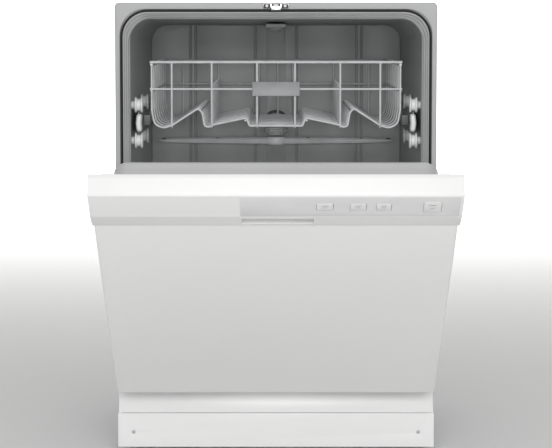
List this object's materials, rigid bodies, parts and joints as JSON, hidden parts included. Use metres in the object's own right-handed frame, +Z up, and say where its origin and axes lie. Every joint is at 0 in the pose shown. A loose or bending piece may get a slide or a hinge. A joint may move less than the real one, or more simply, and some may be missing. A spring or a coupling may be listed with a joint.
{
  "type": "built-in dishwasher",
  "caption": "Built-in dishwasher with a bottom-hinged door standing half open, a grey tub, sliding wire racks, spray arms and a separate toe kick.",
  "frame": {"origin": "centre of the bounding box's footprint, on the floor, with the door in its stored half-open pose", "axes": "+Z up, +X to the right of someone facing the door, +Y back into the cabinet"},
  "size_m": [0.606, 1.1756, 0.855],
  "materials": {
    "tub_plastic": "moulded speckled grey, satin",
    "gasket_rubber": "matt",
    "felt": "fibrous",
    "stainless": "brushed",
    "galvanised_steel": "spangled zinc",
    "white_enamel": "semi-gloss enamel",
    "white_plastic": "satin",
    "liner_plastic": "satin",
    "dark_plastic": "matt",
    "grey_plastic": "satin",
    "pad_plastic": "satin membrane",
    "badge_plastic": "satin",
    "rack_coating": "nylon dip on steel wire",
    "heater_steel": "heat-tinted sheath"
  },
  "bodies": {
    "cabinet": {"tub": "tub_plastic", "tub_gasket": "gasket_rubber", "insulation_blanket": "felt", "latch_strike": "stainless", "base_rail_left": "galvanised_steel", "base_rail_right": "galvanised_steel", "toe_kick": "white_enamel", "access_panel": "white_enamel", "toe_kick_screw_left": "stainless", "toe_kick_screw_right": "stainless", "sump": "dark_plastic", "filter_screen": "stainless", "heating_element": "heater_steel", "wash_pump": "dark_plastic", "spray_feed_tube": "dark_plastic", "top_spray_nozzle": "grey_plastic", "door_spring_left": "galvanised_steel", "door_spring_right": "galvanised_steel", "leveling_leg_front_left": "galvanised_steel", "leveling_leg_front_right": "galvanised_steel", "leveling_leg_rear_left": "galvanised_steel", "leveling_leg_rear_right": "galvanised_steel"},
    "door": {"door_panel": "white_enamel", "door_liner": "liner_plastic", "door_bottom_seal": "gasket_rubber", "console": "white_plastic", "hinge_arm_left": "galvanised_steel", "hinge_arm_right": "galvanised_steel", "detergent_dispenser": "grey_plastic"},
    "upper_rack_body": {"upper_rack": "rack_coating", "rack_badge": "badge_plastic", "rack_manifold": "grey_plastic", "rack_runner_left": "grey_plastic", "rack_runner_right": "grey_plastic", "runner_cap_left": "white_plastic", "runner_cap_right": "white_plastic"},
    "lower_rack_body": {"lower_rack": "rack_coating"},
    "heat_button_body": {"heat_button": "pad_plastic"},
    "cycle_button_body": {"cycle_button": "pad_plastic"},
    "rinse_button_body": {"rinse_button": "pad_plastic"},
    "start_button_body": {"start_button": "pad_plastic"},
    "latch_bolt_body": {"latch_bolt": "dark_plastic"},
    "dispenser_lid_body": {"dispenser_lid": "liner_plastic"},
    "rinse_aid_cap_body": {"rinse_aid_cap": "dark_plastic"},
    "upper_spray_arm_body": {"upper_spray_arm": "grey_plastic"},
    "cutlery_basket_body": {"cutlery_basket": "grey_plastic"},
    "lower_spray_arm_body": {"lower_spray_arm": "grey_plastic"},
    "float_dome_body": {"float_dome": "white_plastic"},
    "tub_roller_front_upper_left_body": {"tub_roller_front_upper_left": "white_plastic"},
    "tub_roller_front_lower_left_body": {"tub_roller_front_lower_left": "white_plastic"},
    "tub_roller_rear_upper_left_body": {"tub_roller_rear_upper_left": "white_plastic"},
    "tub_roller_rear_lower_left_body": {"tub_roller_rear_lower_left": "white_plastic"},
    "tub_roller_front_upper_right_body": {"tub_roller_front_upper_right": "white_plastic"},
    "tub_roller_front_lower_right_body": {"tub_roller_front_lower_right": "white_plastic"},
    "tub_roller_rear_upper_right_body": {"tub_roller_rear_upper_right": "white_plastic"},
    "tub_roller_rear_lower_right_body": {"tub_roller_rear_lower_right": "white_plastic"},
    "rack_wheel_front_left_body": {"rack_wheel_front_left": "white_plastic"},
    "rack_wheel_rear_left_body": {"rack_wheel_rear_left": "white_plastic"},
    "rack_wheel_front_right_body": {"rack_wheel_front_right": "white_plastic"},
    "rack_wheel_rear_right_body": {"rack_wheel_rear_right": "white_plastic"}
  },
  "joints": [
    {"name": "door_hinge", "type": "hinge", "parent": "cabinet", "child": "door", "pos_m": [0, -0.01317, 0.148], "axis": [1, 0, 0], "range_deg": [-53.5, 36.5], "stiffness_Nm_per_rad": 16, "springref_deg": -53.5, "deforming": ["door_spring_left", "door_spring_right"]},
    {"name": "upper_rack_slide", "type": "slide", "parent": "cabinet", "child": "upper_rack_body", "axis": [0, -1, 0], "range_m": [0, 0.33]},
    {"name": "lower_rack_slide", "type": "slide", "parent": "cabinet", "child": "lower_rack_body", "axis": [0, -1, 0], "range_m": [0, 0.09]},
    {"name": "basket_lift", "type": "slide", "parent": "lower_rack_body", "child": "cutlery_basket_body", "axis": [0, 0, 1], "range_m": [0, 0.14]},
    {"name": "upper_arm_spin", "type": "hinge", "parent": "upper_rack_body", "child": "upper_spray_arm_body", "pos_m": [0, 0.31683, 0.58], "axis": [0, 0, 1], "continuous": true},
    {"name": "lower_arm_spin", "type": "hinge", "parent": "cabinet", "child": "lower_spray_arm_body", "pos_m": [0, 0.31683, 0.211], "axis": [0, 0, 1], "continuous": true},
    {"name": "float_lift", "type": "slide", "parent": "cabinet", "child": "float_dome_body", "axis": [0, 0, 1], "range_m": [0, 0.01]},
    {"name": "lid_hinge", "type": "hinge", "parent": "door", "child": "dispenser_lid_body", "pos_m": [-0.038, -0.32599, 0.45487], "axis": [1, 0, 0], "range_deg": [0, 100]},
    {"name": "rinse_cap_twist", "type": "hinge", "parent": "door", "child": "rinse_aid_cap_body", "pos_m": [0.052, -0.2936, 0.43139], "axis": [0, 0.5948, 0.8039], "range_deg": [0, 90]},
    {"name": "latch_bolt_slide", "type": "slide", "parent": "door", "child": "latch_bolt_body", "axis": [0, 0.8039, -0.5948], "range_m": [0, 0.0035], "stiffness_N_per_m": 600},
    {"name": "heat_button_press", "type": "slide", "parent": "door", "child": "heat_button_body", "axis": [0, 0.5948, 0.8039], "range_m": [0, 0.0008], "stiffness_N_per_m": 1500},
    {"name": "cycle_button_press", "type": "slide", "parent": "door", "child": "cycle_button_body", "axis": [0, 0.5948, 0.8039], "range_m": [0, 0.0008], "stiffness_N_per_m": 1500},
    {"name": "rinse_button_press", "type": "slide", "parent": "door", "child": "rinse_button_body", "axis": [0, 0.5948, 0.8039], "range_m": [0, 0.0008], "stiffness_N_per_m": 1500},
    {"name": "start_button_press", "type": "slide", "parent": "door", "child": "start_button_body", "axis": [0, 0.5948, 0.8039], "range_m": [0, 0.0008], "stiffness_N_per_m": 1500},
    {"name": "tub_roller_front_upper_left_spin", "type": "hinge", "parent": "cabinet", "child": "tub_roller_front_upper_left_body", "pos_m": [-0.26055, 0.06483, 0.662], "axis": [1, 0, 0], "continuous": true},
    {"name": "tub_roller_front_lower_left_spin", "type": "hinge", "parent": "cabinet", "child": "tub_roller_front_lower_left_body", "pos_m": [-0.26055, 0.06483, 0.5945], "axis": [1, 0, 0], "continuous": true},
    {"name": "tub_roller_rear_upper_left_spin", "type": "hinge", "parent": "cabinet", "child": "tub_roller_rear_upper_left_body", "pos_m": [-0.26055, 0.24683, 0.662], "axis": [1, 0, 0], "continuous": true},
    {"name": "tub_roller_rear_lower_left_spin", "type": "hinge", "parent": "cabinet", "child": "tub_roller_rear_lower_left_body", "pos_m": [-0.26055, 0.24683, 0.5945], "axis": [1, 0, 0], "continuous": true},
    {"name": "tub_roller_front_upper_right_spin", "type": "hinge", "parent": "cabinet", "child": "tub_roller_front_upper_right_body", "pos_m": [0.26055, 0.06483, 0.662], "axis": [1, 0, 0], "continuous": true},
    {"name": "tub_roller_front_lower_right_spin", "type": "hinge", "parent": "cabinet", "child": "tub_roller_front_lower_right_body", "pos_m": [0.26055, 0.06483, 0.5945], "axis": [1, 0, 0], "continuous": true},
    {"name": "tub_roller_rear_upper_right_spin", "type": "hinge", "parent": "cabinet", "child": "tub_roller_rear_upper_right_body", "pos_m": [0.26055, 0.24683, 0.662], "axis": [1, 0, 0], "continuous": true},
    {"name": "tub_roller_rear_lower_right_spin", "type": "hinge", "parent": "cabinet", "child": "tub_roller_rear_lower_right_body", "pos_m": [0.26055, 0.24683, 0.5945], "axis": [1, 0, 0], "continuous": true},
    {"name": "rack_wheel_front_left_spin", "type": "hinge", "parent": "lower_rack_body", "child": "rack_wheel_front_left_body", "pos_m": [-0.23741, 0.11883, 0.225], "axis": [1, 0, 0], "continuous": true},
    {"name": "rack_wheel_rear_left_spin", "type": "hinge", "parent": "lower_rack_body", "child": "rack_wheel_rear_left_body", "pos_m": [-0.23741, 0.47683, 0.225], "axis": [1, 0, 0], "continuous": true},
    {"name": "rack_wheel_front_right_spin", "type": "hinge", "parent": "lower_rack_body", "child": "rack_wheel_front_right_body", "pos_m": [0.23741, 0.11883, 0.225], "axis": [1, 0, 0], "continuous": true},
    {"name": "rack_wheel_rear_right_spin", "type": "hinge", "parent": "lower_rack_body", "child": "rack_wheel_rear_right_body", "pos_m": [0.23741, 0.47683, 0.225], "axis": [1, 0, 0], "continuous": true}
  ],
  "couplings": [
    {"joint": "tub_roller_front_upper_left_spin", "follows": "upper_rack_slide", "rad_per_m": -90.909},
    {"joint": "tub_roller_front_lower_left_spin", "follows": "upper_rack_slide", "rad_per_m": 90.909},
    {"joint": "tub_roller_rear_upper_left_spin", "follows": "upper_rack_slide", "rad_per_m": -90.909},
    {"joint": "tub_roller_rear_lower_left_spin", "follows": "upper_rack_slide", "rad_per_m": 90.909},
    {"joint": "tub_roller_front_upper_right_spin", "follows": "upper_rack_slide", "rad_per_m": -90.909},
    {"joint": "tub_roller_front_lower_right_spin", "follows": "upper_rack_slide", "rad_per_m": 90.909},
    {"joint": "tub_roller_rear_upper_right_spin", "follows": "upper_rack_slide", "rad_per_m": -90.909},
    {"joint": "tub_roller_rear_lower_right_spin", "follows": "upper_rack_slide", "rad_per_m": 90.909},
    {"joint": "rack_wheel_front_left_spin", "follows": "lower_rack_slide", "rad_per_m": 53.476},
    {"joint": "rack_wheel_rear_left_spin", "follows": "lower_rack_slide", "rad_per_m": 53.476},
    {"joint": "rack_wheel_front_right_spin", "follows": "lower_rack_slide", "rad_per_m": 53.476},
    {"joint": "rack_wheel_rear_right_spin", "follows": "lower_rack_slide", "rad_per_m": 53.476}
  ]
}
